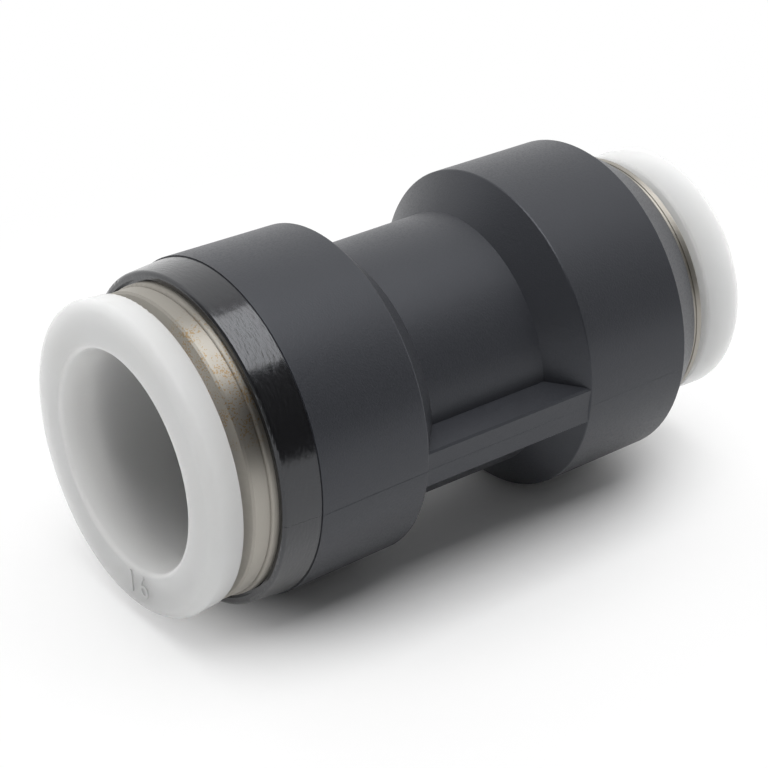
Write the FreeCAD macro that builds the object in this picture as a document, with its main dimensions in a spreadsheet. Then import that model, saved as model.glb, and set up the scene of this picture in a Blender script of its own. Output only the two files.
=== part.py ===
# Push-in reducing coupling for a 16 mm and a 12 mm plastic tube, in millimetres.
# It stands on its small end with +Z along the axis, and its origin is the centre of the face that it stands on.
# The side ribs point along +X and -X, in the plane where the two halves of the mould meet.
# Each end is built in a frame of its own: origin at the body's end face, +Z out of the body along the axis.
import FreeCAD, Part
import Sketcher
import math
import os

ENDS = ("large", "small")

# Driving dimensions. Lengths are along the axis unless the name says otherwise.
SIZES = {
    # the two tubes
    "large_tube_od": 16.0,
    "small_tube_od": 12.0,
    # moulded body, outside
    "body_length": 38.8,
    "neck_od": 19.45,
    "neck_length": 10.1,
    "shoulder_gap": 14.7,
    "large_shoulder_od": 24.6,
    "large_barrel_od": 25.0,
    "large_band_od": 24.84,
    "large_band_length": 3.0,
    "large_face_od": 24.4,
    "small_shoulder_od": 24.6,
    "small_barrel_od": 24.4,
    "small_band_od": 24.3,
    "small_band_length": 3.0,
    "small_face_od": 20.1,
    "shoulder_round": 0.15,
    "face_round": 0.3,
    "rib_thickness": 3.0,
    "rib_reach": 12.2,
    "rib_sink": 0.7,
    "rib_bevel": 0.15,
    # bores of the body, depths from each end face
    "tube_socket_gap": 0.075,
    "socket_lead_in": 0.4,
    "stop_depth": 16.2,
    "passage_bore": 9.5,
    "seat_step": 0.2,
    "seal_float": 0.2,
    "large_relief_gap": 0.25,
    "large_relief_depth": 0.4,
    "small_relief_gap": 0.1,
    "small_relief_depth": 0.3,
    # guide ring
    "large_ring_od": 22.5,
    "large_bead_od": 22.8,
    "large_ring_stand_out": 1.75,
    "small_ring_od": 19.6,
    "small_bead_od": 19.7,
    "small_ring_stand_out": 1.05,
    "bead_height": 0.35,
    "large_bead_round": 0.2,
    "small_bead_round": 0.1,
    "ring_line_width": 0.15,
    "ring_line_depth": 0.1,
    "ring_edge": 0.15,
    "ring_depth": 6.0,
    "ring_wall": 0.65,
    "ledge_depth": 3.6,
    # release collet
    "large_stand_out": 5.1,
    "small_stand_out": 5.3,
    "large_flange_od": 23.2,
    "large_flange_rear_od": 22.8,
    "small_flange_od": 19.2,
    "small_flange_rear_od": 19.0,
    "flange_round": 0.8,
    "mouth_round": 0.4,
    "rear_round": 0.2,
    "tube_fit": 0.15,
    "collet_wall": 1.3,
    "guide_gap": 0.2,
    "hook_height": 0.6,
    "hook_land": 0.6,
    "hook_ramp": 0.9,
    "hook_play": 0.1,
    "groove_gap": 0.2,
    "nose_wall": 0.75,
    "nose_edge": 0.4,
    "nose_clearance": 0.25,
    "press_travel": 0.8,
    "press_stop_gap": 0.05,
    "slot_width": 1.0,
    "slot_count": 4,
    "slot_end_depth": 2.8,
    # lock claw
    "claw_sheet": 0.4,
    "claw_rim": 0.9,
    "rim_gap": 0.05,
    "tooth_bite": 0.2,
    "tooth_angle": 42.0,
    "tooth_gap": 0.8,
    "large_tooth_count": 16,
    "small_tooth_count": 12,
    # back ring
    "back_ring_length": 2.6,
    "back_ring_bore_gap": 0.25,
    "back_cone_gap": 0.5,
    # tube seal
    "seal_length": 2.6,
    "seal_seat_gap": 0.02,
    "seal_back_gap": 0.3,
    "seal_squeeze": 0.3,
    "seal_lip": 0.6,
    "seal_groove_depth": 1.3,
    "seal_tip_rise": 0.5,
    "seal_neck": 1.0,
}

doc = FreeCAD.newDocument("PushInReducingCoupling")
sheet = doc.addObject("Spreadsheet::Sheet", "sizes")


class Size:
    """A number together with the sheet expression that gives it."""

    def __init__(self, value, text):
        self.value = value
        self.text = text

    def _join(self, other, sign, value):
        other_text = other.text if isinstance(other, Size) else repr(other)
        return Size(value, f"({self.text} {sign} {other_text})")

    def __add__(self, other):
        return self._join(other, "+", self.value + plain(other))

    def __sub__(self, other):
        return self._join(other, "-", self.value - plain(other))

    def __mul__(self, other):
        return self._join(other, "*", self.value * plain(other))

    def __truediv__(self, other):
        return self._join(other, "/", self.value / plain(other))

    def __neg__(self):
        return Size(-self.value, f"(-1 * {self.text})")


def plain(size):
    return size.value if isinstance(size, Size) else size


def cell(name):
    return Size(SIZES[name], f"sizes.{name}")


def sine(angle):
    return Size(math.sin(math.radians(angle.value)), f"sin({angle.text})")


def cosine(angle):
    return Size(math.cos(math.radians(angle.value)), f"cos({angle.text})")


def tangent(angle):
    return Size(math.tan(math.radians(angle.value)), f"tan({angle.text})")


def fill_sheet():
    for row, (name, value) in enumerate(SIZES.items(), start=1):
        sheet.set(f"A{row}", name)
        sheet.set(f"B{row}", str(value))
        sheet.setAlias(f"B{row}", name)
    doc.recompute()


# Feature helpers

def new_body(label):
    body = doc.addObject("PartDesign::Body", label)
    body.Label = label
    return body


def origin_feature(body, role):
    return next(item for item in body.Origin.OriginFeatures if item.Role == role)


def profile_sketch(body, name, points, plane="XZ_Plane"):
    """Closed outline; in the XZ plane each point is (distance from the axis, height)."""
    sketch = body.newObject("Sketcher::SketchObject", name)
    sketch.AttachmentSupport = [(origin_feature(body, plane), "")]
    sketch.MapMode = "FlatFace"
    spots = [FreeCAD.Vector(plain(across), plain(up), 0) for across, up in points]
    lines = [Part.LineSegment(spot, spots[(i + 1) % len(spots)]) for i, spot in enumerate(spots)]
    sketch.addGeometry(lines, False)
    for i, (across, up) in enumerate(points):
        previous = (i - 1) % len(points)
        sketch.addConstraint(Sketcher.Constraint("Coincident", previous, 2, i, 1))
        bind_distance(sketch, "DistanceX", i, across)
        bind_distance(sketch, "DistanceY", i, up)
    return sketch


def bind_distance(sketch, kind, line, size):
    index = sketch.addConstraint(Sketcher.Constraint(kind, -1, 1, line, 1, plain(size)))
    if isinstance(size, Size):
        sketch.setExpression(f"Constraints[{index}]", size.text)


def revolve(body, name, points, kind="PartDesign::Revolution"):
    """Turn an outline round the axis; a groove takes material away."""
    sketch = profile_sketch(body, name + "_profile", points)
    turned = body.newObject(kind, name)
    turned.Profile = sketch
    turned.ReferenceAxis = (sketch, ["V_Axis"])
    turned.Angle = 360
    doc.recompute()
    return turned


def cut_across(body, name, points, width):
    """Pocket of the given width, half on each side of the XZ plane."""
    sketch = profile_sketch(body, name + "_profile", points)
    pocket = body.newObject("PartDesign::Pocket", name)
    pocket.Profile = sketch
    pocket.Midplane = True
    pocket.setExpression("Length", width.text)
    doc.recompute()
    return pocket


def repeat_round_axis(body, name, feature, count):
    pattern = body.newObject("PartDesign::PolarPattern", name)
    pattern.Originals = [feature]
    pattern.Axis = (origin_feature(body, "Z_Axis"), [""])
    pattern.Angle = 360
    pattern.setExpression("Occurrences", count.text)
    body.Tip = pattern
    doc.recompute()
    return pattern


def round_rims(body, name, feature, rims, radius):
    """Fillet on the circular edges at the given (radius, height) places."""
    edges = []
    for rim_radius, height in rims:
        for number, edge in enumerate(feature.Shape.Edges, start=1):
            if is_rim(edge, plain(rim_radius), plain(height)):
                edges.append(f"Edge{number}")
    if len(edges) != len(rims):
        raise RuntimeError(f"{name}: {len(edges)} of {len(rims)} rims found")
    fillet = body.newObject("PartDesign::Fillet", name)
    fillet.Base = (feature, edges)
    fillet.setExpression("Radius", radius.text)
    doc.recompute()
    return fillet


def is_rim(edge, radius, height):
    if not isinstance(edge.Curve, Part.Circle):
        return False
    near_radius = math.isclose(edge.Curve.Radius, radius, abs_tol=1e-4)
    return near_radius and math.isclose(edge.Curve.Center.z, height, abs_tol=1e-4)


def place_at_end(body, end):
    """Put a piece at its end of the body; the small end's pieces point down."""
    if end == "small":
        body.Placement = FreeCAD.Placement(FreeCAD.Vector(), FreeCAD.Rotation(FreeCAD.Vector(1, 0, 0), 180))
    body.setExpression("Placement.Base.z", end_face_height(end).text)


# Sizes that several pieces share

def end_face_height(end):
    low = cell("small_stand_out")
    return low if end == "small" else low + cell("body_length")


def tube_radius(end):
    return cell(f"{end}_tube_od") / 2


def collet_bore_radius(end):
    return tube_radius(end) + cell("tube_fit")


def sleeve_radius(end):
    return collet_bore_radius(end) + cell("collet_wall")


def hook_radius(end):
    return sleeve_radius(end) + cell("hook_height")


def groove_radius(end):
    return hook_radius(end) + cell("groove_gap")


def press_radius(end):
    return groove_radius(end) + cell("ring_wall")


def seat_radius(end):
    return press_radius(end) - cell("seat_step")


def claw_root_radius(end):
    return seat_radius(end) - cell("claw_rim")


def claw_tip_radius(end):
    return tube_radius(end) - cell("tooth_bite")


def back_ring_depth():
    return cell("ring_depth") + cell("claw_sheet")


def seal_depth():
    return back_ring_depth() + cell("back_ring_length")


def seat_depth():
    return seal_depth() + cell("seal_length") + cell("seal_float")


# Moulded body

def socket_points(end, height_at):
    """Stepped socket from its mouth to the tube stop; height_at turns a depth into a height."""
    axis = Size(0.0, "0")
    face = height_at(Size(0.0, "0"))
    relief_radius = cell(f"{end}_bead_od") / 2 + cell(f"{end}_relief_gap")
    relief = height_at(cell(f"{end}_relief_depth"))
    ring_end = height_at(cell("ring_depth"))
    seat_end = height_at(seat_depth())
    lead_in = cell("socket_lead_in")
    lead_end = height_at(seat_depth() + lead_in)
    stop = height_at(cell("stop_depth"))
    socket_radius = tube_radius(end) + cell("tube_socket_gap")
    return [
        (axis, face),
        (relief_radius, face),
        (relief_radius, relief),
        (press_radius(end), relief),
        (press_radius(end), ring_end),
        (seat_radius(end), ring_end),
        (seat_radius(end), seat_end),
        (socket_radius + lead_in, seat_end),
        (socket_radius, lead_end),
        (socket_radius, stop),
        (axis, stop),
    ]


def body_middle():
    return end_face_height("small") + cell("body_length") / 2


def build_body():
    body = new_body("body")
    low, high, middle = end_face_height("small"), end_face_height("large"), body_middle()
    low_band = low + cell("small_band_length")
    high_band = high - cell("large_band_length")
    low_shoulder = middle - cell("shoulder_gap") / 2
    high_shoulder = middle + cell("shoulder_gap") / 2
    neck_radius = cell("neck_od") / 2
    outside = [
        (cell("small_face_od") / 2, low),
        (cell("small_band_od") / 2, low_band),
        (cell("small_barrel_od") / 2, low_band),
        (cell("small_shoulder_od") / 2, low_shoulder),
        (neck_radius, middle - cell("neck_length") / 2),
        (neck_radius, middle + cell("neck_length") / 2),
        (cell("large_shoulder_od") / 2, high_shoulder),
        (cell("large_barrel_od") / 2, high_band),
        (cell("large_band_od") / 2, high_band),
        (cell("large_face_od") / 2, high),
    ]
    passage = [(cell("passage_bore") / 2, high), (cell("passage_bore") / 2, low)]
    turned = revolve(body, "barrels", outside + passage)
    shoulders = [(cell("small_shoulder_od") / 2, low_shoulder), (cell("large_shoulder_od") / 2, high_shoulder)]
    rounded = round_rims(body, "shoulder_rounds", turned, shoulders, cell("shoulder_round"))
    round_rims(body, "face_round", rounded, [(cell("large_face_od") / 2, high)], cell("face_round"))
    revolve(body, "large_socket", socket_points("large", lambda depth: high - depth), kind="PartDesign::Groove")
    revolve(body, "small_socket", socket_points("small", lambda depth: low + depth), kind="PartDesign::Groove")
    rib = body.newObject("PartDesign::Pad", "rib")
    rib.Profile = rib_section(body, neck_radius - cell("rib_sink"), low_shoulder)
    rib.setExpression("Length", cell("shoulder_gap").text)
    doc.recompute()
    both_ribs = body.newObject("PartDesign::Mirrored", "both_ribs")
    both_ribs.Originals = [rib]
    both_ribs.MirrorPlane = (origin_feature(body, "YZ_Plane"), [""])
    body.Tip = both_ribs
    doc.recompute()
    return body


def rib_section(body, inner, height):
    """Cross-section of a side rib at a height; its two outer corners are bevelled."""
    outer = cell("rib_reach")
    half = cell("rib_thickness") / 2
    bevel = cell("rib_bevel")
    corners = [
        (inner, -half),
        (outer - bevel, -half),
        (outer, bevel - half),
        (outer, half - bevel),
        (outer - bevel, half),
        (inner, half),
    ]
    section = profile_sketch(body, "rib_section", corners, "XY_Plane")
    section.setExpression("AttachmentOffset.Base.z", height.text)
    return section


# Guide ring: nickel-plated, pressed into the mouth of the body; a fine turned line sets off its rounded bead

def build_guide_ring(end):
    body = new_body(f"{end}_guide_ring")
    ring_radius = cell(f"{end}_ring_od") / 2
    bead_radius = cell(f"{end}_bead_od") / 2
    front = cell(f"{end}_ring_stand_out")
    edge = cell("ring_edge")
    relief = -cell(f"{end}_relief_depth")
    inner_end = -cell("ring_depth")
    bore_radius = sleeve_radius(end) + cell("guide_gap")
    ledge = -cell("ledge_depth")
    bead_top = cell("bead_height")
    line_top = bead_top + cell("ring_line_width")
    line_radius = ring_radius - cell("ring_line_depth")
    points = [
        (bore_radius, front),
        (ring_radius - edge, front),
        (ring_radius, front - edge),
        (ring_radius, line_top),
        (line_radius, line_top),
        (line_radius, bead_top),
        (bead_radius, bead_top),
        (bead_radius, relief),
        (press_radius(end), relief),
        (press_radius(end), inner_end),
        (groove_radius(end), inner_end),
        (groove_radius(end), ledge),
        (bore_radius, ledge),
    ]
    turned = revolve(body, f"{end}_ring_turned", points)
    round_rims(body, f"{end}_bead_round", turned, [(bead_radius, bead_top)], cell(f"{end}_bead_round"))
    place_at_end(body, end)
    return body


# Release collet: flange to press, slotted sleeve with snap hooks, nose that opens the claw

def build_release_collet(end):
    body = new_body(f"{end}_release_collet")
    bore = collet_bore_radius(end)
    sleeve = sleeve_radius(end)
    hook = hook_radius(end)
    nose = bore + cell("nose_wall")
    nose_tip = nose - cell("nose_edge")
    front = cell(f"{end}_stand_out")
    rear = cell(f"{end}_ring_stand_out") + cell("press_travel") + cell("press_stop_gap")
    hook_top = cell("ledge_depth") + cell("hook_play")
    ramp_top = hook_top + cell("hook_land")
    ramp_end = ramp_top + cell("hook_ramp")
    tooth_depth = cell("ring_depth") + (claw_root_radius(end) - nose_tip) * tangent(cell("tooth_angle"))
    nose_end = tooth_depth - cell("nose_clearance") - cell("press_travel")
    flange = cell(f"{end}_flange_od") / 2
    flange_rear = cell(f"{end}_flange_rear_od") / 2
    points = [
        (bore, front),
        (flange, front),
        (flange_rear, rear),
        (sleeve, rear),
        (sleeve, -hook_top),
        (hook, -hook_top),
        (hook, -ramp_top),
        (nose, -ramp_end),
        (nose, -(nose_end - cell("nose_edge"))),
        (nose_tip, -nose_end),
        (bore, -nose_end),
    ]
    turned = revolve(body, f"{end}_collet_turned", points)
    outer = round_rims(body, f"{end}_flange_round", turned, [(flange, front)], cell("flange_round"))
    mouth = round_rims(body, f"{end}_mouth_round", outer, [(bore, front)], cell("mouth_round"))
    round_rims(body, f"{end}_rear_round", mouth, [(flange_rear, rear)], cell("rear_round"))
    slot_top = -cell("slot_end_depth")
    slot_outline = [
        (bore / 2, -(nose_end + cell("press_travel"))),
        (hook + cell("groove_gap"), -(nose_end + cell("press_travel"))),
        (hook + cell("groove_gap"), slot_top),
        (bore / 2, slot_top),
    ]
    slot = cut_across(body, f"{end}_collet_slot", slot_outline, cell("slot_width"))
    repeat_round_axis(body, f"{end}_collet_slots", slot, cell("slot_count"))
    place_at_end(body, end)
    return body


# Lock claw: stamped stainless ring whose teeth lean inwards and bite the tube

def build_lock_claw(end):
    body = new_body(f"{end}_lock_claw")
    angle = cell("tooth_angle")
    thickness = cell("claw_sheet")
    rim = seat_radius(end) - cell("rim_gap")
    root = claw_root_radius(end)
    tip = claw_tip_radius(end)
    top = cell("ring_depth")
    tip_depth = top + (root - tip) * tangent(angle)
    points = [
        (rim, -top),
        (root, -top),
        (tip, -tip_depth),
        (tip + thickness * sine(angle), -(tip_depth + thickness * cosine(angle))),
        (root + thickness * tangent(angle / 2), -(top + thickness)),
        (rim, -(top + thickness)),
    ]
    revolve(body, f"{end}_claw_pressed", points)
    below = -(tip_depth + thickness * 2)
    gap_outline = [(tip / 2, below), (root, below), (root, -(top - thickness)), (tip / 2, -(top - thickness))]
    gap = cut_across(body, f"{end}_tooth_gap", gap_outline, cell("tooth_gap"))
    repeat_round_axis(body, f"{end}_tooth_gaps", gap, cell(f"{end}_tooth_count"))
    place_at_end(body, end)
    return body


# Back ring: carries the claw's rim and leaves its teeth room to open

def build_back_ring(end):
    body = new_body(f"{end}_back_ring")
    outer = seat_radius(end) - cell("rim_gap")
    bore = tube_radius(end) + cell("back_ring_bore_gap")
    cone = claw_root_radius(end) + cell("back_cone_gap")
    top = back_ring_depth()
    cone_end = top + (cone - bore) * tangent(cell("tooth_angle"))
    points = [
        (cone, -top),
        (outer, -top),
        (outer, -seal_depth()),
        (bore, -seal_depth()),
        (bore, -cone_end),
    ]
    revolve(body, f"{end}_back_ring_turned", points)
    place_at_end(body, end)
    return body


# Tube seal: rubber ring with an inner lip on the tube and an outer lip on its seat

def build_tube_seal(end):
    body = new_body(f"{end}_tube_seal")
    outer = seat_radius(end) - cell("seal_seat_gap")
    inner = tube_radius(end) + cell("seal_back_gap")
    lip_tip = tube_radius(end) - cell("seal_squeeze")
    back = seal_depth()
    front = back + cell("seal_length")
    groove_middle = (outer + inner) / 2
    points = [
        (inner, -back),
        (outer, -back),
        (outer, -front),
        (outer - cell("seal_lip"), -front),
        (groove_middle, -(front - cell("seal_groove_depth"))),
        (inner, -front),
        (lip_tip, -(front - cell("seal_tip_rise"))),
        (inner, -(back + cell("seal_neck"))),
    ]
    revolve(body, f"{end}_seal_moulded", points)
    place_at_end(body, end)
    return body


def check_document():
    for item in doc.Objects:
        if "Invalid" in item.State or "Error" in item.State:
            raise RuntimeError(f"{item.Label} failed: {item.State}")


def export(pieces):
    os.makedirs("parts", exist_ok=True)
    for piece in pieces:
        if piece.Shape.isNull() or not piece.Shape.isValid():
            raise RuntimeError(f"{piece.Label} has no valid shape")
    for piece in pieces:
        piece.Shape.exportStep(f"parts/{piece.Label}.step")
        print(piece.Label, "solids", len(piece.Shape.Solids), "volume", round(piece.Shape.Volume, 2))


fill_sheet()
pieces = [build_body()]
for end in ENDS:
    pieces.append(build_guide_ring(end))
    pieces.append(build_release_collet(end))
    pieces.append(build_lock_claw(end))
    pieces.append(build_back_ring(end))
    pieces.append(build_tube_seal(end))
doc.recompute()
check_document()
export(pieces)
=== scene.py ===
"""Looks of a push-in reducing coupling: its finishes, moulded marks and a plain studio."""
import logging
import math
from dataclasses import dataclass
from enum import Enum

import bpy
from mathutils import Matrix, Vector


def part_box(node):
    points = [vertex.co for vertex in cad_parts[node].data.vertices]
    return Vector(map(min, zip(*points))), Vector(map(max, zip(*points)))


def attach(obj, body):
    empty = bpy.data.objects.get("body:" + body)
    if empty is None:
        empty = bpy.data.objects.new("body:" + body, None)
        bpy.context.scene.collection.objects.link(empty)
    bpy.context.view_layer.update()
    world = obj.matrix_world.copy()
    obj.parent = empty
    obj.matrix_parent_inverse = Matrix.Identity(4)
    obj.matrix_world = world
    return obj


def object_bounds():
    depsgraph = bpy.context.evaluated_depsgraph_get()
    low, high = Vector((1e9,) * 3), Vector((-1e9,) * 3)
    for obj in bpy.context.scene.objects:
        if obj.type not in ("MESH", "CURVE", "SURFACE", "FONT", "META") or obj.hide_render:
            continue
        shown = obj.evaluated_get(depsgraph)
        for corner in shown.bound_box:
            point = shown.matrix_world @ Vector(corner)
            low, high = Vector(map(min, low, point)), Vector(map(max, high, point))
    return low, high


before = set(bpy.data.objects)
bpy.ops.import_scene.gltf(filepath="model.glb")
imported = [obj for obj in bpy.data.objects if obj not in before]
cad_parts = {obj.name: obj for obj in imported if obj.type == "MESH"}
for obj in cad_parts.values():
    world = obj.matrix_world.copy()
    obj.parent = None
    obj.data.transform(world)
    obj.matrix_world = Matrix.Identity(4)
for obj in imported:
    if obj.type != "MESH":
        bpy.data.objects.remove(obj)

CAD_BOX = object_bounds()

LOG = logging.getLogger("coupling")
MM = 0.001
CAD_LOW, CAD_HIGH = (Vector(corner) for corner in CAD_BOX)

Colour = tuple[float, float, float]
Triple = tuple[float, float, float]
Range = tuple[float, float]
WHITE: Colour = (1.0, 1.0, 1.0)

# A Mix node has one set of sockets for each data type: two inputs and the output, by number.
MIX_SOCKETS = {"FLOAT": (2, 3, 0), "RGBA": (6, 7, 2)}


class End(Enum):
    """The two ends of the coupling, by the tube that each takes."""

    LARGE = "large"
    SMALL = "small"


class Side(Enum):
    """The body's two sides, by the sign of X."""

    RIGHT = 1
    LEFT = -1


class Body(Enum):
    """The bodies of the frame that pieces made here ride on."""

    HOUSING = "housing"
    LARGE_COLLET = "large_collet"


class Slot(Enum):
    """Material slots of the record."""

    BODY = "body_plastic"
    COLLET = "collet_acetal"
    RING = "ring_nickel"
    CLAW = "claw_steel"
    BACK_RING = "back_ring_acetal"
    SEAL = "seal_rubber"


END_PIECES = {
    "guide_ring": Slot.RING,
    "release_collet": Slot.COLLET,
    "lock_claw": Slot.CLAW,
    "back_ring": Slot.BACK_RING,
    "tube_seal": Slot.SEAL,
}


def rgba(colour: object) -> object:
    """Return a colour with an alpha of one, or a socket as it is."""
    return (*colour, 1.0) if isinstance(colour, tuple) else colour


class Board:
    """A node tree with short ways to add nodes and join them."""

    def __init__(self, tree: bpy.types.NodeTree) -> None:
        """Take over a tree.

        Args:
            tree: Node tree of a material, a world or a group.
        """
        self.tree = tree

    def add(self, kind: str, **settings: object) -> bpy.types.Node:
        """Add a node and set its properties.

        Args:
            kind: Blender's name for the node type.
            settings: Properties of the node, by name.

        Returns:
            The new node.
        """
        node = self.tree.nodes.new(kind)
        for name, value in settings.items():
            setattr(node, name, value)
        return node

    def feed(self, node: bpy.types.Node, inputs: dict[str | int, object]) -> bpy.types.Node:
        """Set a node's inputs, each from a socket or a plain value.

        Args:
            node: The node that takes the inputs.
            inputs: Sockets or values by the name or number of the input.

        Returns:
            The same node.
        """
        for name, value in inputs.items():
            if isinstance(value, bpy.types.NodeSocket):
                self.tree.links.new(value, node.inputs[name])
            else:
                node.inputs[name].default_value = value
        return node

    def group(self, tree: bpy.types.NodeTree, **inputs: object) -> bpy.types.Node:
        """Return a node of a group with these inputs."""
        return self.feed(self.add("ShaderNodeGroup", node_tree=tree), inputs)

    def math(self, operation: str, first: object, second: object = 0.0) -> bpy.types.NodeSocket:
        """Return the result of a Math node on two sockets or numbers."""
        node = self.add("ShaderNodeMath", operation=operation)
        return self.feed(node, {0: first, 1: second}).outputs[0]

    def vectors(self, operation: str, *values: object, result: str = "Vector") -> bpy.types.NodeSocket:
        """Return the result of a Vector Math node.

        Args:
            operation: Blender's name for the operation.
            values: Sockets or plain vectors, in order.
            result: Vector, or Value where the operation gives a number.

        Returns:
            The node's output of that name.
        """
        node = self.add("ShaderNodeVectorMath", operation=operation)
        return self.feed(node, dict(enumerate(values))).outputs[result]

    def scaled(self, vector: object, factor: object) -> bpy.types.NodeSocket:
        """Return a vector times a number."""
        node = self.add("ShaderNodeVectorMath", operation="SCALE")
        return self.feed(node, {0: vector, "Scale": factor}).outputs["Vector"]

    def between(self, value: object, low: object, high: object) -> bpy.types.NodeSocket:
        """Return a smooth step that goes from 0 at low to 1 at high, which may be the smaller one."""
        node = self.add("ShaderNodeMapRange", interpolation_type="SMOOTHSTEP")
        return self.feed(node, {"Value": value, "From Min": low, "From Max": high}).outputs["Result"]

    def _mixed(self, data_type: str, share: object, first: object, second: object) -> bpy.types.NodeSocket:
        """Mix two values in a Mix node.

        Args:
            data_type: Blender's name for the type of the values.
            share: Share of the second value.
            first: Socket or value at a share of 0.
            second: Socket or value at a share of 1.

        Returns:
            The node's output.
        """
        node = self.add("ShaderNodeMix", data_type=data_type)
        low, high, result = MIX_SOCKETS[data_type]
        return self.feed(node, {"Factor": share, low: first, high: second}).outputs[result]

    def mix(self, share: object, first: object, second: object) -> bpy.types.NodeSocket:
        """Return a colour between two colours."""
        return self._mixed("RGBA", share, rgba(first), rgba(second))

    def mix_number(self, share: object, first: object, second: object) -> bpy.types.NodeSocket:
        """Return a number between two numbers."""
        return self._mixed("FLOAT", share, first, second)

    def mix_shaders(self, share: object, first: bpy.types.Node, second: bpy.types.Node) -> bpy.types.Node:
        """Return a Mix Shader node between two shader nodes."""
        node = self.add("ShaderNodeMixShader")
        return self.feed(node, {0: share, 1: first.outputs[0], 2: second.outputs[0]})

    def noise(self, place: object, scale: object, detail: float) -> bpy.types.NodeSocket:
        """Return a noise value from 0 to 1 at a place."""
        node = self.add("ShaderNodeTexNoise")
        return self.feed(node, {"Vector": place, "Scale": scale, "Detail": detail}).outputs["Fac"]

    def bump(self, height: object, strength: float, depth: float) -> bpy.types.NodeSocket:
        """Return a normal that follows a height, with its full depth in metres."""
        node = self.add("ShaderNodeBump")
        return self.feed(node, {"Height": height, "Strength": strength, "Distance": depth}).outputs["Normal"]

    def place(self) -> bpy.types.NodeSocket:
        """Return the Object coordinates."""
        return self.add("ShaderNodeTexCoord").outputs["Object"]

    def height(self) -> bpy.types.NodeSocket:
        """Return the height along the coupling's axis."""
        split = self.add("ShaderNodeSeparateXYZ")
        return self.feed(split, {0: self.place()}).outputs["Z"]

    def from_axis(self) -> bpy.types.NodeSocket:
        """Return the vector from the coupling's axis to the surface."""
        return self.vectors("MULTIPLY", self.place(), (1.0, 1.0, 0.0))

    def seen(self, mirrored_share: object = 1.0) -> bpy.types.NodeSocket:
        """Tell the rays that show a thing from those that light another.

        Args:
            mirrored_share: What rays by way of gloss or glass count for.

        Returns:
            One for rays from the camera, that share for mirrored ones and nought for the rest.
        """
        path = self.add("ShaderNodeLightPath").outputs
        mirrored = self.math("MAXIMUM", path["Is Glossy Ray"], path["Is Transmission Ray"])
        return self.math("MAXIMUM", path["Is Camera Ray"], self.math("MULTIPLY", mirrored, mirrored_share))


def new_group(name: str, inputs: dict[str, float], outputs: tuple[str, ...]) -> tuple:
    """Make an empty shader node group with named number sockets.

    Args:
        name: Name of the group.
        inputs: Default values by input name.
        outputs: Names of the outputs.

    Returns:
        The group's board, the sockets of its inputs by name and its output node.
    """
    tree = bpy.data.node_groups.new(name, "ShaderNodeTree")
    for label, value in inputs.items():
        socket = tree.interface.new_socket(label, in_out="INPUT", socket_type="NodeSocketFloat")
        socket.default_value = value
    for label in outputs:
        tree.interface.new_socket(label, in_out="OUTPUT", socket_type="NodeSocketFloat")
    board = Board(tree)
    return board, board.add("NodeGroupInput").outputs, board.add("NodeGroupOutput")


class Effects:
    """Surface effects that several finishes share, each a node group built once."""

    turning_detail: float = 3.0
    grain_detail: float = 4.0
    cloud_detail: float = 3.0
    fleck_detail: float = 2.0
    patch_detail: float = 1.0
    fleck_edge: float = 0.08

    def __init__(self) -> None:
        """Build the groups."""
        self.turning = self._turning_marks()
        self.grain = self._moulded_grain()
        self.band = self._height_band()
        self.flecks = self._flecks()

    def _turning_marks(self) -> bpy.types.NodeTree:
        """Fine lines that run round the axis, as a lathe or a polished mould leaves them.

        Returns:
            The group.
        """
        board, taken, given = new_group("turning_marks", {"Around": 4.0, "Along": 9000.0}, ("Height",))
        direction = board.vectors("NORMALIZE", board.from_axis())
        around = board.scaled(direction, taken["Around"])
        along = board.add("ShaderNodeCombineXYZ")
        board.feed(along, {"Z": board.math("MULTIPLY", board.height(), taken["Along"])})
        spot = board.vectors("ADD", around, along.outputs[0])
        board.feed(given, {"Height": board.noise(spot, 1.0, self.turning_detail)})
        return board.tree

    def _moulded_grain(self) -> bpy.types.NodeTree:
        """Fine grain of a spark-eroded mould, with a slow change of shade.

        Returns:
            The group.
        """
        inputs = {"Grain": 9000.0, "Cloud": 160.0}
        board, taken, given = new_group("moulded_grain", inputs, ("Height", "Shade"))
        place = board.place()
        board.feed(given, {
            "Height": board.noise(place, taken["Grain"], self.grain_detail),
            "Shade": board.noise(place, taken["Cloud"], self.cloud_detail),
        })
        return board.tree

    def _height_band(self) -> bpy.types.NodeTree:
        """One between two heights along the axis, with a soft edge.

        Returns:
            The group.
        """
        inputs = {"Low": 0.0, "High": 1.0, "Softness": 0.0001}
        board, taken, given = new_group("height_band", inputs, ("Mask",))
        height, soft = board.height(), taken["Softness"]
        rise = board.between(height, board.math("SUBTRACT", taken["Low"], soft), taken["Low"])
        fall = board.between(height, taken["High"], board.math("ADD", taken["High"], soft))
        board.feed(given, {"Mask": board.math("SUBTRACT", rise, fall)})
        return board.tree

    def _flecks(self) -> bpy.types.NodeTree:
        """Small scattered flecks, gathered in loose patches.

        Returns:
            The group.
        """
        inputs = {"Fine": 5000.0, "Patch": 250.0, "Amount": 0.5, "Level": 0.9}
        board, taken, given = new_group("flecks", inputs, ("Mask",))
        place = board.place()
        fine = board.noise(place, taken["Fine"], self.fleck_detail)
        patch = board.noise(place, taken["Patch"], self.patch_detail)
        height = board.math("ADD", fine, board.math("MULTIPLY", patch, taken["Amount"]))
        low = taken["Level"]
        board.feed(given, {"Mask": board.between(height, low, board.math("ADD", low, self.fleck_edge))})
        return board.tree


def new_material(name: str, tint: Colour) -> tuple[bpy.types.Material, Board, bpy.types.Node]:
    """Make a material with one Principled shader.

    Args:
        name: Name of the material.
        tint: Plain colour for views without nodes.

    Returns:
        The material, its board and its shader node.
    """
    material = bpy.data.materials.new(name)
    material.use_nodes = True
    material.diffuse_color = rgba(tint)
    shader = material.node_tree.nodes["Principled BSDF"]
    return material, Board(material.node_tree), shader


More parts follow.
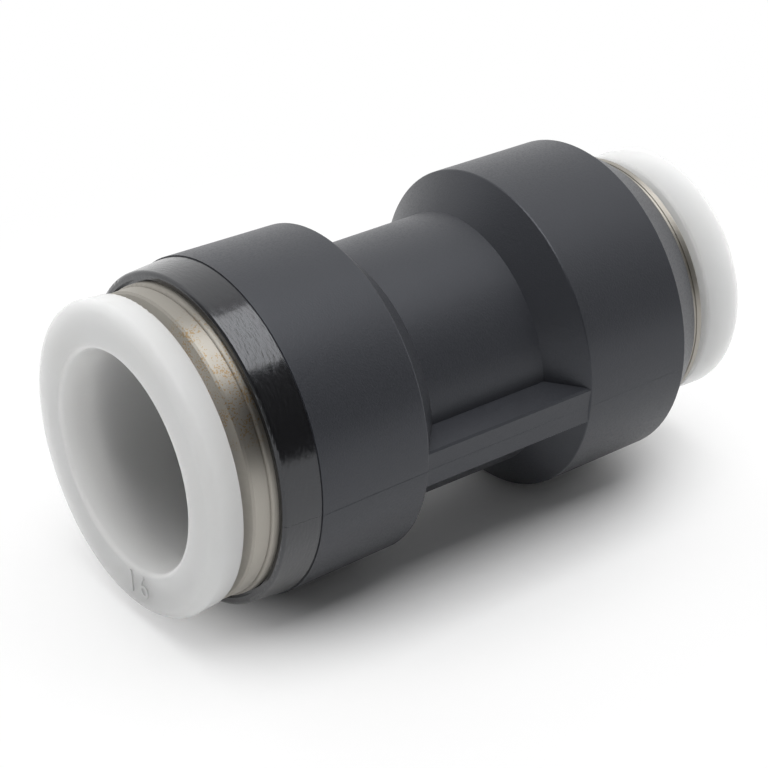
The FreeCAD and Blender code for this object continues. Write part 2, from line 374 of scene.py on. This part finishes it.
@dataclass(frozen=True)
class GlassFilledNylon:
    """Dark moulded plastic: grained and matte, and polished along one band. Lengths in metres."""

    grained: Colour = (0.027, 0.0285, 0.034)
    grained_dark: Colour = (0.0225, 0.0238, 0.0285)
    grained_roughness: Range = (0.36, 0.48)
    grained_relief: float = 0.39
    grain: float = 7000.0
    cloud: float = 180.0
    speckle: Range = (0.35, 0.75)
    polished: Colour = (0.010, 0.010, 0.011)
    polished_roughness: Range = (0.12, 0.26)
    streaks_around: float = 18.0
    streaks_along: float = 5000.0
    band_low: float = 0.04118
    band_high: float = 0.0445
    band_softness: float = 0.00006
    sheen: float = 0.55
    sheen_tint: Colour = (0.90, 0.93, 1.0)
    gloss: float = 0.45
    gloss_roughness: float = 0.10
    bump: float = 0.90
    bump_depth: float = 0.00003

    def material(self, effects: Effects) -> bpy.types.Material:
        """Make the material.

        Args:
            effects: The shared node groups.

        Returns:
            The new material.
        """
        material, board, shader = new_material("dark_moulded_nylon", self.grained)
        band = board.group(effects.band, Low=self.band_low, High=self.band_high, Softness=self.band_softness)
        mask = band.outputs["Mask"]
        grain = board.group(effects.grain, Grain=self.grain, Cloud=self.cloud).outputs
        streaks = board.group(effects.turning, Around=self.streaks_around, Along=self.streaks_along)
        streak = streaks.outputs["Height"]
        matte = board.mix(grain["Shade"], self.grained_dark, self.grained)
        speckle = board.between(grain["Height"], *self.speckle)
        roughness = board.mix_number(speckle, *self.grained_roughness)
        polish = board.mix_number(streak, *self.polished_roughness)
        low_grain = board.math("MULTIPLY", grain["Height"], self.grained_relief)
        relief = board.mix_number(mask, low_grain, streak)
        board.feed(shader, {
            "Base Color": board.mix(mask, matte, self.polished),
            "Roughness": board.mix_number(mask, roughness, polish),
            "Specular IOR Level": self.sheen,
            "Specular Tint": rgba(self.sheen_tint),
            "Coat Weight": board.math("MULTIPLY", mask, self.gloss),
            "Coat Roughness": self.gloss_roughness,
            "Normal": board.bump(relief, self.bump, self.bump_depth),
        })
        return material


@dataclass(frozen=True)
class MilkyAcetal:
    """White moulded acetal that lets some light through, with painted light in a collet's thin bore wall: a
    paler colour there. Lengths in metres.
    """

    name: str = "milky_acetal"
    colour: Colour = (0.65, 0.656, 0.662)
    warm: Colour = (0.636, 0.636, 0.625)
    roughness: Range = (0.20, 0.30)
    grain: float = 2500.0
    cloud: float = 120.0
    bump: float = 0.02
    bump_depth: float = 0.00003
    refraction: float = 1.38
    sheen: float = 0.22
    painted_bore_light: Colour = (0.84, 0.84, 0.83)
    small_sleeve: float = 0.0062
    large_sleeve: float = 0.0082
    mouth: float = 0.0003
    middle: Range = (0.020, 0.030)
    scatter: float = 1.0
    scatter_reach: Triple = (1.0, 1.0, 1.0)
    scatter_depth: float = 0.006

    def _bore_light_mask(self, board: Board) -> bpy.types.NodeSocket:
        """Tell a collet's thin wall, which gets the painted light, from its thick flange.

        Args:
            board: Board of the material.

        Returns:
            One inside the sleeve and nought on the flange.
        """
        radius = board.vectors("LENGTH", board.from_axis(), result="Value")
        at_large = board.between(board.height(), *self.middle)
        wall = board.mix_number(at_large, self.small_sleeve, self.large_sleeve)
        return board.between(radius, board.math("ADD", wall, self.mouth), wall)

    def material(self, effects: Effects) -> bpy.types.Material:
        """Make the material.

        Args:
            effects: The shared node groups.

        Returns:
            The new material.
        """
        material, board, shader = new_material(self.name, self.colour)
        grain = board.group(effects.grain, Grain=self.grain, Cloud=self.cloud).outputs
        flange = board.mix(grain["Shade"], self.colour, self.warm)
        board.feed(shader, {
            # Painted light: the colour turns paler inside the thin wall, standing in for light in the bore.
            "Base Color": board.mix(self._bore_light_mask(board), flange, self.painted_bore_light),
            "Roughness": board.mix_number(grain["Height"], *self.roughness),
            "Normal": board.bump(grain["Height"], self.bump, self.bump_depth),
            "IOR": self.refraction,
            "Specular IOR Level": self.sheen,
            "Subsurface Weight": self.scatter,
            "Subsurface Radius": self.scatter_reach,
            "Subsurface Scale": self.scatter_depth,
        })
        return material


@dataclass(frozen=True)
class NickelPlate:
    """Nickel plate on turned brass, with brass-coloured flecks near one spot of the larger ring. In metres.
    """

    nickel: Colour = (0.51, 0.485, 0.44)
    brass: Colour = (0.46, 0.34, 0.20)
    roughness: Range = (0.52, 0.66)
    lines_around: float = 25.0
    lines_along: float = 24000.0
    bump: float = 0.25
    bump_depth: float = 0.00002
    stretch: float = 0.9
    stretch_turn: float = 0.25
    fleck_fine: float = 7500.0
    fleck_patch: float = 900.0
    fleck_amount: float = 0.5
    fleck_level: float = 0.81
    fleck_spot: Triple = (-0.0062, -0.0094, 0.0456)
    fleck_reach: float = 0.0066

    def _brass_flecks(self, board: Board, effects: Effects) -> bpy.types.NodeSocket:
        """Scatter brass-coloured flecks near one spot.

        Args:
            board: Board of the material.
            effects: The shared node groups.

        Returns:
            One on the flecks and nought elsewhere.
        """
        flecks = board.group(
            effects.flecks, Fine=self.fleck_fine, Patch=self.fleck_patch, Amount=self.fleck_amount,
            Level=self.fleck_level,
        )
        away = board.vectors("DISTANCE", board.place(), self.fleck_spot, result="Value")
        near = board.between(away, self.fleck_reach, self.fleck_reach / 2)
        return board.math("MULTIPLY", flecks.outputs["Mask"], near)

    def material(self, effects: Effects) -> bpy.types.Material:
        """Make the material.

        Args:
            effects: The shared node groups.

        Returns:
            The new material.
        """
        material, board, shader = new_material("nickel_plate", self.nickel)
        turned = board.group(effects.turning, Around=self.lines_around, Along=self.lines_along)
        line = turned.outputs["Height"]
        board.feed(shader, {
            "Base Color": board.mix(self._brass_flecks(board, effects), self.nickel, self.brass),
            "Metallic": 1.0,
            "Roughness": board.mix_number(line, *self.roughness),
            "Anisotropic": self.stretch,
            "Anisotropic Rotation": self.stretch_turn,
            "Normal": board.bump(line, self.bump, self.bump_depth),
        })
        return material


@dataclass(frozen=True)
class PlainFinish:
    """One stuff all over, with a slow change of shade and a fine grain. The bump's depth is in metres."""

    name: str
    colour: Colour
    shade: Colour
    roughness: Range
    grain: float
    cloud: float
    bump: float
    bump_depth: float = 0.00003
    metallic: float = 0.0

    def material(self, effects: Effects) -> bpy.types.Material:
        """Make the material.

        Args:
            effects: The shared node groups.

        Returns:
            The new material.
        """
        material, board, shader = new_material(self.name, self.colour)
        grain = board.group(effects.grain, Grain=self.grain, Cloud=self.cloud).outputs
        board.feed(shader, {
            "Base Color": board.mix(grain["Shade"], self.colour, self.shade),
            "Metallic": self.metallic,
            "Roughness": board.mix_number(grain["Height"], *self.roughness),
            "Normal": board.bump(grain["Height"], self.bump, self.bump_depth),
        })
        return material


@dataclass(frozen=True)
class SpringSteel(PlainFinish):
    """Stamped stainless sheet of the lock claws."""

    name: str = "stamped_stainless"
    colour: Colour = (0.58, 0.57, 0.55)
    shade: Colour = (0.47, 0.46, 0.44)
    roughness: Range = (0.22, 0.42)
    grain: float = 6000.0
    cloud: float = 400.0
    bump: float = 0.15
    bump_depth: float = 0.00002
    metallic: float = 1.0


@dataclass(frozen=True)
class NaturalAcetal(PlainFinish):
    """Uncoloured acetal of the hidden back rings."""

    name: str = "natural_acetal"
    colour: Colour = (0.70, 0.69, 0.64)
    shade: Colour = (0.63, 0.61, 0.56)
    roughness: Range = (0.30, 0.48)
    grain: float = 3000.0
    cloud: float = 200.0
    bump: float = 0.08


@dataclass(frozen=True)
class NitrileRubber(PlainFinish):
    """Black rubber of the tube seals."""

    name: str = "nitrile_rubber"
    colour: Colour = (0.018, 0.018, 0.019)
    shade: Colour = (0.026, 0.026, 0.027)
    roughness: Range = (0.48, 0.70)
    grain: float = 5000.0
    cloud: float = 260.0
    bump: float = 0.2


def deselect_all() -> None:
    """Leave object mode with nothing selected."""
    if bpy.context.object and bpy.context.object.mode != "OBJECT":
        bpy.ops.object.mode_set(mode="OBJECT")
    bpy.ops.object.select_all(action="DESELECT")


def dress(piece: bpy.types.Object, material: bpy.types.Material) -> None:
    """Give a piece one finish all over.

    Args:
        piece: The piece.
        material: Its finish.
    """
    piece.data.materials.clear()
    piece.data.materials.append(material)
    LOG.info("%s wears %s", piece.name, material.name)


def settle(piece: bpy.types.Object, body: Body, material: bpy.types.Material) -> None:
    """Put a finished piece at the origin, dress it and let it ride.

    Args:
        piece: The piece, whose place then goes into its mesh.
        body: Body that it moves with.
        material: Its finish.
    """
    deselect_all()
    piece.select_set(True)
    bpy.context.view_layer.objects.active = piece
    bpy.ops.object.transform_apply(location=True, rotation=True, scale=True)
    dress(piece, material)
    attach(piece, body.value)
    LOG.info("%s rides on %s", piece.name, body.value)


@dataclass
class CouplingBody:
    """The moulded body and the flash of its mould. Sizes in millimetres."""

    rib_reach: float = 12.2
    large_face: float = 12.2
    large_band: float = 12.42
    large_barrel: float = 12.5
    large_shoulder: float = 12.3
    small_shoulder: float = 12.3
    small_barrel: float = 12.2
    small_band: float = 12.15
    small_face: float = 10.05
    band_length: float = 3.0
    shoulder_gap: float = 14.7
    flash_size: float = 0.012
    flash_sink: float = 0.009
    flash_steps: int = 2
    smooth_angle: float = math.radians(50)

    def build(self, finish: bpy.types.Material) -> None:
        """Dress the body and add the flash on its two sides.

        Args:
            finish: Finish of both.
        """
        dress(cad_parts["body"], finish)
        for side in Side:
            settle(self._flash(side), Body.HOUSING, finish)

    def _outline(self) -> list[tuple[float, float]]:
        """Work out the flash's line from face to face, sunk a little on the small end.

        Returns:
            The line's points as (radius, height).
        """
        low, high = (corner.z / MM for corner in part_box("body"))
        middle = (low + high) / 2
        half_gap = self.shoulder_gap / 2
        sink = self.flash_sink
        return [
            (self.large_face, high),
            (self.large_band, high - self.band_length),
            (self.large_barrel, high - self.band_length),
            (self.large_shoulder, middle + half_gap),
            (self.rib_reach, middle + half_gap),
            (self.rib_reach, middle - half_gap),
            (self.small_shoulder - sink, middle - half_gap),
            (self.small_barrel - sink, low + self.band_length),
            (self.small_band - sink, low + self.band_length),
            (self.small_face - sink, low),
        ]

    def _flash(self, side: Side) -> bpy.types.Object:
        """Make the thin raised line that the two halves of the mould leave.

        Args:
            side: Side of the body.

        Returns:
            The line as a mesh.
        """
        deselect_all()
        bpy.ops.curve.primitive_nurbs_path_add(location=(0, 0, 0))
        piece = bpy.context.object
        piece.name = f"mould_flash_{side.name.lower()}"
        curve = piece.data
        curve.splines.clear()
        spline = curve.splines.new("POLY")
        outline = self._outline()
        spline.points.add(len(outline) - 1)
        for point, (radius, height) in zip(spline.points, outline):
            point.co = (side.value * radius * MM, 0.0, height * MM, 1.0)
        curve.dimensions = "3D"
        curve.bevel_depth = self.flash_size * MM
        curve.bevel_resolution = self.flash_steps
        curve.use_fill_caps = True
        bpy.ops.object.convert(target="MESH")
        bpy.ops.object.shade_smooth_by_angle(angle=self.smooth_angle)
        return piece


@dataclass
class TubeEnd:
    """What one end of the coupling holds."""

    end: End

    def build(self, finishes: dict[Slot, bpy.types.Material]) -> None:
        """Dress the pieces of this end."""
        for piece, slot in END_PIECES.items():
            dress(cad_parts[f"{self.end.value}_{piece}"], finishes[slot])


@dataclass
class SizeMark:
    """The tube size, raised on the larger collet's end face with its feet outward. Sizes in millimetres."""

    digits: str = "16"
    text_size: float = 2.45
    middle_radius: float = 9.45
    middle_angle: float = 103.0
    step_angle: float = 9.5
    proud: float = 0.05
    edge_round: float = 0.03
    thinned: float = 0.02

    def build(self, finish: bpy.types.Material) -> None:
        """Model each digit, join them and let them ride on the collet.

        Args:
            finish: Finish of the digits.
        """
        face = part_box("large_release_collet")[1].z
        shapes = [self._digit(digit, place, face) for place, digit in enumerate(self.digits)]
        deselect_all()
        for shape in shapes:
            shape.select_set(True)
        bpy.context.view_layer.objects.active = shapes[0]
        bpy.ops.object.join()
        mark = bpy.context.object
        mark.name = "tube_size_mark"
        settle(mark, Body.LARGE_COLLET, finish)

    def _digit(self, digit: str, place: int, face: float) -> bpy.types.Object:
        """Raise one digit on the face.

        Args:
            digit: The digit.
            place: Its place in the number, from 0.
            face: Height of the face in metres.

        Returns:
            The digit as a mesh in its place.
        """
        deselect_all()
        bpy.ops.object.text_add(location=(0, 0, 0))
        shape = bpy.context.object
        text = shape.data
        text.body = digit
        text.align_x = "CENTER"
        text.align_y = "CENTER"
        text.size = self.text_size * MM
        text.extrude = self.proud * MM
        text.bevel_depth = self.edge_round * MM
        text.offset = -self.thinned * MM
        bpy.ops.object.convert(target="MESH")
        steps = place - (len(self.digits) - 1) / 2
        outward = math.radians(self.middle_angle + steps * self.step_angle)
        spot = Vector((math.cos(outward), math.sin(outward), 0)) * self.middle_radius * MM
        turn = Matrix.Rotation(outward + math.pi / 2, 4, "Z")
        shape.data.transform(Matrix.Translation(spot + Vector((0, 0, face))) @ turn)
        return shape


def facing(toward: Vector, top: Vector, spot: Vector) -> Matrix:
    """Turn and place a thing that looks one way.

    Args:
        toward: Direction that it looks in.
        top: Direction that is up for it.
        spot: Where it stands.

    Returns:
        Its place as a matrix.
    """
    back = -toward.normalized()
    right = top.cross(back).normalized()
    turn = Matrix((right, back.cross(right), back)).transposed().to_4x4()
    return Matrix.Translation(spot) @ turn


@dataclass(frozen=True)
class Wall:
    """A pale side of the room. Its middle is ahead of the large end, across on the camera's side, and up."""

    ahead: float
    across: float
    up: float
    level: float


@dataclass(frozen=True)
class Softbox:
    """A lamp over the coupling, leaning to the camera's side by a share of its height. Metres and watts."""

    across: float = 0.14
    distance: float = 0.55
    width: float = 0.43
    length: float = 0.50
    power: float = 2.55


@dataclass
class Studio:
    """A pale floor that the coupling lies on, soft light and the photograph's camera. Sizes in metres."""

    belly_turn: float = math.radians(4.6)
    lie_radius: float = 0.0125
    floor_reach: float = 3.0
    floor_colour: Colour = (0.95, 0.95, 0.95)
    floor_shade: Colour = (0.93, 0.93, 0.93)
    floor_grain: float = 900.0
    floor_detail: float = 2.0
    floor_roughness: float = 0.85
    floor_sheen: float = 0.1
    fade_shape: Triple = (1.0, 0.9, 0.0)
    fade: Range = (0.013, 0.026)
    fade_share: float = 0.7
    gone: Range = (0.024, 0.06)
    walls: tuple[Wall, ...] = (
        Wall(ahead=0.0, across=-1.0, up=0.15, level=1.62),
        Wall(ahead=0.0, across=-0.7, up=0.75, level=1.28),
        Wall(ahead=-1.0, across=0.0, up=0.25, level=2.44),
        Wall(ahead=1.0, across=0.0, up=0.25, level=0.36),
    )
    wall_edge: float = 6.0
    backdrop_edge: float = 0.15
    softbox: Softbox = Softbox()
    camera_spot: Triple = (-0.12394, -0.10426, 0.12542)
    camera_back: Triple = (-0.65010, -0.55554, 0.51841)
    lens: float = 121.8
    sensor: float = 36.0
    clip_start: float = 0.01

    def __post_init__(self) -> None:
        """Work out the directions of the room from how the coupling lies."""
        self.up = Vector((math.sin(self.belly_turn), -math.cos(self.belly_turn), 0))
        self.along = Vector((0, 0, 1))
        self.side = self.up.cross(self.along)
        self.middle = (CAD_LOW + CAD_HIGH) / 2

    def build(self) -> None:
        """Set up floor, world, lamp and camera."""
        self._floor()
        self._world()
        self._lamp()
        self._camera()
        bpy.context.scene.view_settings.view_transform = "Standard"

    def _floor(self) -> None:
        """Lay the floor under the coupling's belly."""
        deselect_all()
        bpy.ops.mesh.primitive_plane_add(size=2 * self.floor_reach)
        floor = bpy.context.object
        floor.name = "studio_floor"
        spot = -self.up * self.lie_radius
        spot.z = self.middle.z
        floor.matrix_world = facing(-self.up, self.along, spot)
        floor.data.materials.append(self._floor_finish())

    def _floor_finish(self) -> bpy.types.Material:
        """Make a pale finish that takes the shadow, fades to white further out and is open from below.

        Returns:
            The floor's material.
        """
        material, board, shader = new_material("pale_floor", self.floor_colour)
        place = board.place()
        grain = board.noise(place, self.floor_grain, self.floor_detail)
        board.feed(shader, {
            "Base Color": board.mix(grain, self.floor_shade, self.floor_colour),
            "Roughness": self.floor_roughness,
            "Specular IOR Level": self.floor_sheen,
        })
        # Painted light: away from the coupling, camera and mirrored rays see white emission over the floor's
        # shading, partly over the outer shadow and fully further out.
        away = board.vectors("LENGTH", board.vectors("MULTIPLY", place, self.fade_shape), result="Value")
        partly = board.math("MULTIPLY", board.between(away, *self.fade), self.fade_share)
        fade = board.math("MAXIMUM", partly, board.between(away, *self.gone))
        white = board.feed(board.add("ShaderNodeEmission"), {"Color": rgba(WHITE), "Strength": 1.0})
        above = board.mix_shaders(board.math("MULTIPLY", fade, board.seen()), shader, white)
        below = board.add("ShaderNodeNewGeometry").outputs["Backfacing"]
        blend = board.mix_shaders(below, above, board.add("ShaderNodeBsdfTransparent"))
        board.feed(material.node_tree.nodes["Material Output"], {"Surface": blend.outputs[0]})
        return material

    def _world(self) -> None:
        """Light from pale walls, mostly behind and past the small end, and show white behind the coupling."""
        world = bpy.data.worlds.new("studio_room")
        world.use_nodes = True
        bpy.context.scene.world = world
        board = Board(world.node_tree)
        toward = board.add("ShaderNodeTexCoord").outputs["Generated"]
        level = 0.0
        for wall in self.walls:
            middle = self.along * wall.ahead + self.side * wall.across + self.up * wall.up
            facing_it = board.vectors("DOT_PRODUCT", toward, middle.normalized(), result="Value")
            near = board.math("POWER", board.math("MAXIMUM", facing_it), self.wall_edge)
            level = board.math("ADD", board.math("MULTIPLY", near, wall.level), level)
        room = board.feed(board.add("ShaderNodeBackground"), {"Color": rgba(WHITE), "Strength": level})
        white = board.feed(board.add("ShaderNodeBackground"), {"Color": rgba(WHITE), "Strength": 1.0})
        beyond = board.vectors("DOT_PRODUCT", toward, -Vector(self.camera_back), result="Value")
        behind = board.between(beyond, -self.backdrop_edge, self.backdrop_edge)
        blend = board.mix_shaders(board.seen(behind), room, white)
        board.feed(world.node_tree.nodes["World Output"], {"Surface": blend.outputs[0]})

    def _lamp(self) -> None:
        """Hang the softbox over the coupling."""
        lamp = bpy.data.lights.new("overhead_softbox", "AREA")
        lamp.shape = "RECTANGLE"
        lamp.size, lamp.size_y = self.softbox.width, self.softbox.length
        lamp.energy = self.softbox.power
        holder = bpy.data.objects.new("overhead_softbox", lamp)
        bpy.context.scene.collection.objects.link(holder)
        lean = (self.up + self.side * self.softbox.across).normalized()
        holder.matrix_world = facing(-lean, self.along, self.middle + lean * self.softbox.distance)

    def _camera(self) -> None:
        """Stand the camera where the photograph was taken from, level with the floor."""
        data = bpy.data.cameras.new("photo_camera")
        data.lens = self.lens
        data.sensor_width = self.sensor
        data.clip_start = self.clip_start
        camera = bpy.data.objects.new("photo_camera", data)
        bpy.context.scene.collection.objects.link(camera)
        camera.matrix_world = facing(-Vector(self.camera_back), self.up, Vector(self.camera_spot))
        bpy.context.scene.camera = camera


def main() -> None:
    """Build the looks of the coupling in order."""
    logging.basicConfig(level=logging.INFO, format="%(message)s")
    effects = Effects()
    finishes = {
        Slot.BODY: GlassFilledNylon().material(effects),
        Slot.COLLET: MilkyAcetal().material(effects),
        Slot.RING: NickelPlate().material(effects),
        Slot.CLAW: SpringSteel().material(effects),
        Slot.BACK_RING: NaturalAcetal().material(effects),
        Slot.SEAL: NitrileRubber().material(effects),
    }
    CouplingBody().build(finishes[Slot.BODY])
    for end in End:
        TubeEnd(end).build(finishes)
    # The mark is too thin to scatter light inside it.
    thin_acetal = MilkyAcetal(name="milky_acetal_thin", scatter=0.0)
    SizeMark().build(thin_acetal.material(effects))
    Studio().build()


if __name__ == "__main__":
    main()
